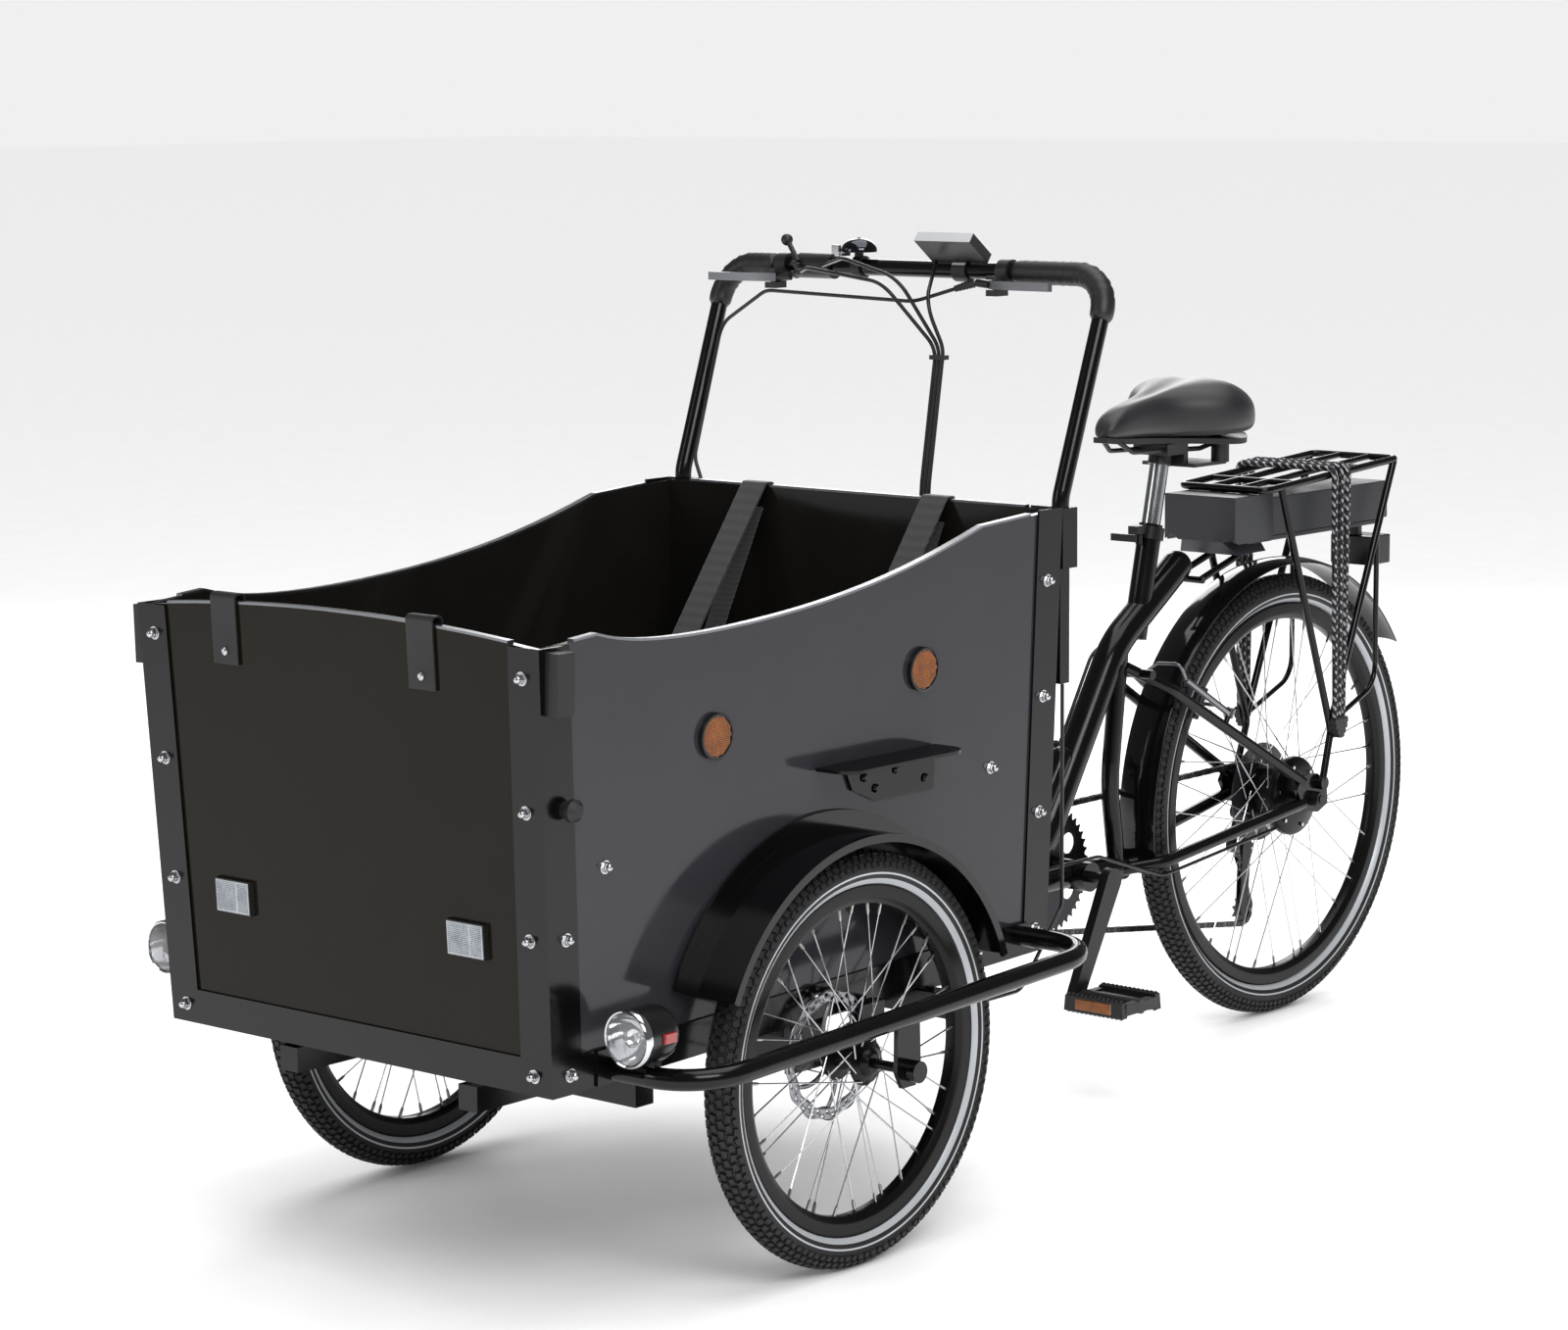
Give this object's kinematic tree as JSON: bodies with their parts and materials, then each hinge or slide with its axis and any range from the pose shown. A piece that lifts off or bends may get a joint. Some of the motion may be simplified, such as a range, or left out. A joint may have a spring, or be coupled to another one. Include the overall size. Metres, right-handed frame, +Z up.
{
  "type": "cargo bicycle",
  "caption": "Electric three-wheeled cargo cycle: an open panelled box with a bench between two steered front wheels, push-bar steering, and a driven rear wheel under a battery rack.",
  "frame": {"origin": "on the ground under the middle of the overall length and width", "axes": "+X forwards, +Y to the rider's left, +Z up"},
  "size_m": [2.241, 0.944, 1.1984],
  "materials": {
    "black_paint": "gloss",
    "black_panel": "gloss coated plywood",
    "silver_metal": "satin",
    "aluminium": "satin",
    "black_anodised": "satin",
    "tyre": "matte",
    "rubber": "matte",
    "black_plastic": "matte",
    "gloss_plastic": "gloss",
    "grey_plastic": "matte",
    "webbing": "woven",
    "elastic_cord": "woven",
    "strap_leather": "matte",
    "vinyl": "satin",
    "grip_leather": "satin",
    "clear_lens": "clear",
    "steel_dark": "satin",
    "chrome": "polished",
    "trim": "gloss"
  },
  "bodies": {
    "rear_frame": {"frame": "black_paint", "frame_fittings": "steel_dark", "rear_mudguard": "gloss_plastic", "rack": "black_paint", "controller_case": "grey_plastic", "tail_lamp": "gloss_plastic", "chain": "steel_dark", "derailleur": "steel_dark", "bungee": "elastic_cord", "rear_cables": "rubber"},
    "rear_wheel": {"tyre_rear": "tyre", "rim_rear": "black_anodised", "hub_rear": "black_anodised"},
    "cassette": {"cassette": "steel_dark"},
    "cranks": {"crankset": "black_anodised", "chainring": "steel_dark"},
    "pedal_left": {"pedal_left": "black_plastic"},
    "pedal_right": {"pedal_right": "black_plastic"},
    "jockey_upper": {"jockey_upper": "black_plastic"},
    "jockey_lower": {"jockey_lower": "black_plastic"},
    "brake_arm_left": {"brake_arm_left": "aluminium"},
    "brake_arm_right": {"brake_arm_right": "aluminium"},
    "saddle": {"seatpost": "aluminium", "saddle_cover": "vinyl", "saddle_base": "steel_dark"},
    "clamp_lever": {"clamp_lever": "black_anodised"},
    "battery": {"battery": "grey_plastic"},
    "front_box": {"front_chassis": "black_paint", "bumper_loops": "black_paint", "box_end_panels": "black_panel", "box_side_panels": "black_panel", "box_floor": "black_panel", "bench": "black_panel", "corner_posts": "black_paint", "edge_trim": "trim", "box_fasteners": "silver_metal", "box_knobs": "rubber", "seat_belts": "webbing", "front_straps": "strap_leather", "reflectors": "clear_lens", "side_steps": "black_paint", "front_mudguards": "gloss_plastic", "headlamps": "gloss_plastic", "calipers": "black_anodised", "front_cables": "rubber", "handlebar": "black_paint", "grips": "grip_leather", "controls": "black_plastic", "display": "grey_plastic", "bell": "chrome"},
    "front_wheel_left": {"tyre_left": "tyre", "rim_left": "black_anodised", "hub_left": "black_anodised"},
    "front_wheel_right": {"tyre_right": "tyre", "rim_right": "black_anodised", "hub_right": "black_anodised"},
    "lever_left": {"lever_left": "aluminium"},
    "lever_right": {"lever_right": "aluminium"},
    "shift_lever": {"shift_lever": "black_plastic"},
    "bell_lever": {"bell_lever": "steel_dark"}
  },
  "joints": [
    {"name": "steering", "type": "hinge", "parent": "rear_frame", "child": "front_box", "pos_m": [0.12, 0, 0.3], "axis": [0, 0, 1], "range_deg": [-35, 35]},
    {"name": "rear_wheel_spin", "type": "hinge", "parent": "rear_frame", "child": "rear_wheel", "pos_m": [-0.79, 0, 0.33], "axis": [0, 1, 0], "continuous": true},
    {"name": "front_left_spin", "type": "hinge", "parent": "front_box", "child": "front_wheel_left", "pos_m": [0.638, 0.368, 0.25], "axis": [0, 1, 0], "continuous": true},
    {"name": "front_right_spin", "type": "hinge", "parent": "front_box", "child": "front_wheel_right", "pos_m": [0.638, -0.368, 0.25], "axis": [0, 1, 0], "continuous": true},
    {"name": "crank_spin", "type": "hinge", "parent": "rear_frame", "child": "cranks", "pos_m": [-0.284, 0, 0.285], "axis": [0, 1, 0], "continuous": true},
    {"name": "cassette_spin", "type": "hinge", "parent": "rear_frame", "child": "cassette", "pos_m": [-0.79, -0.04, 0.33], "axis": [0, 1, 0], "continuous": true},
    {"name": "pedal_left_spin", "type": "hinge", "parent": "cranks", "child": "pedal_left", "pos_m": [-0.20341, 0.13, 0.13532], "axis": [0, 1, 0], "continuous": true},
    {"name": "pedal_right_spin", "type": "hinge", "parent": "cranks", "child": "pedal_right", "pos_m": [-0.3646, -0.13, 0.43468], "axis": [0, 1, 0], "continuous": true},
    {"name": "jockey_upper_spin", "type": "hinge", "parent": "rear_frame", "child": "jockey_upper", "pos_m": [-0.772, -0.04, 0.247], "axis": [0, 1, 0], "continuous": true},
    {"name": "jockey_lower_spin", "type": "hinge", "parent": "rear_frame", "child": "jockey_lower", "pos_m": [-0.765, -0.04, 0.152], "axis": [0, 1, 0], "continuous": true},
    {"name": "brake_arm_left_swing", "type": "hinge", "parent": "rear_frame", "child": "brake_arm_left", "pos_m": [-0.592, 0.0545, 0.48], "axis": [0.5312, 0, -0.8473], "range_deg": [0, 4.1]},
    {"name": "brake_arm_right_swing", "type": "hinge", "parent": "rear_frame", "child": "brake_arm_right", "pos_m": [-0.592, -0.0545, 0.48], "axis": [-0.5312, 0, 0.8473], "range_deg": [0, 4.1]},
    {"name": "seatpost_slide", "type": "slide", "parent": "rear_frame", "child": "saddle", "axis": [-0.2334, 0, 0.9724], "range_m": [-0.05, 0.06]},
    {"name": "clamp_lever_swing", "type": "hinge", "parent": "rear_frame", "child": "clamp_lever", "pos_m": [-0.432, 0.008, 0.746], "axis": [0, 0, 1], "range_deg": [0, 100]},
    {"name": "battery_slide", "type": "slide", "parent": "rear_frame", "child": "battery", "axis": [-1, 0, 0], "range_m": [0, 0.34]},
    {"name": "lever_left_pull", "type": "hinge", "parent": "front_box", "child": "lever_left", "pos_m": [0.092, 0.158, 1.13], "axis": [0, 0, 1], "range_deg": [0, 11], "stiffness_Nm_per_rad": 0.5, "springref_deg": -5.73},
    {"name": "lever_right_pull", "type": "hinge", "parent": "front_box", "child": "lever_right", "pos_m": [0.092, -0.218, 1.13], "axis": [0, 0, -1], "range_deg": [0, 11], "stiffness_Nm_per_rad": 0.5, "springref_deg": -5.73},
    {"name": "shift_lever_turn", "type": "hinge", "parent": "front_box", "child": "shift_lever", "pos_m": [0.066, -0.19, 1.148], "axis": [0, 1, 0], "range_deg": [-25, 25]},
    {"name": "bell_lever_flick", "type": "hinge", "parent": "front_box", "child": "bell_lever", "pos_m": [0.07, -0.087, 1.165], "axis": [0, 0, 1], "range_deg": [0, 25], "stiffness_Nm_per_rad": 0.02, "springref_deg": -5.73}
  ],
  "couplings": [
    {"joint": "cassette_spin", "follows": "crank_spin", "ratio": 2},
    {"joint": "jockey_upper_spin", "follows": "crank_spin", "ratio": -4},
    {"joint": "jockey_lower_spin", "follows": "crank_spin", "ratio": 4},
    {"joint": "brake_arm_left_swing", "follows": "lever_right_pull", "ratio": 0.3636},
    {"joint": "brake_arm_right_swing", "follows": "lever_right_pull", "ratio": 0.3636}
  ]
}
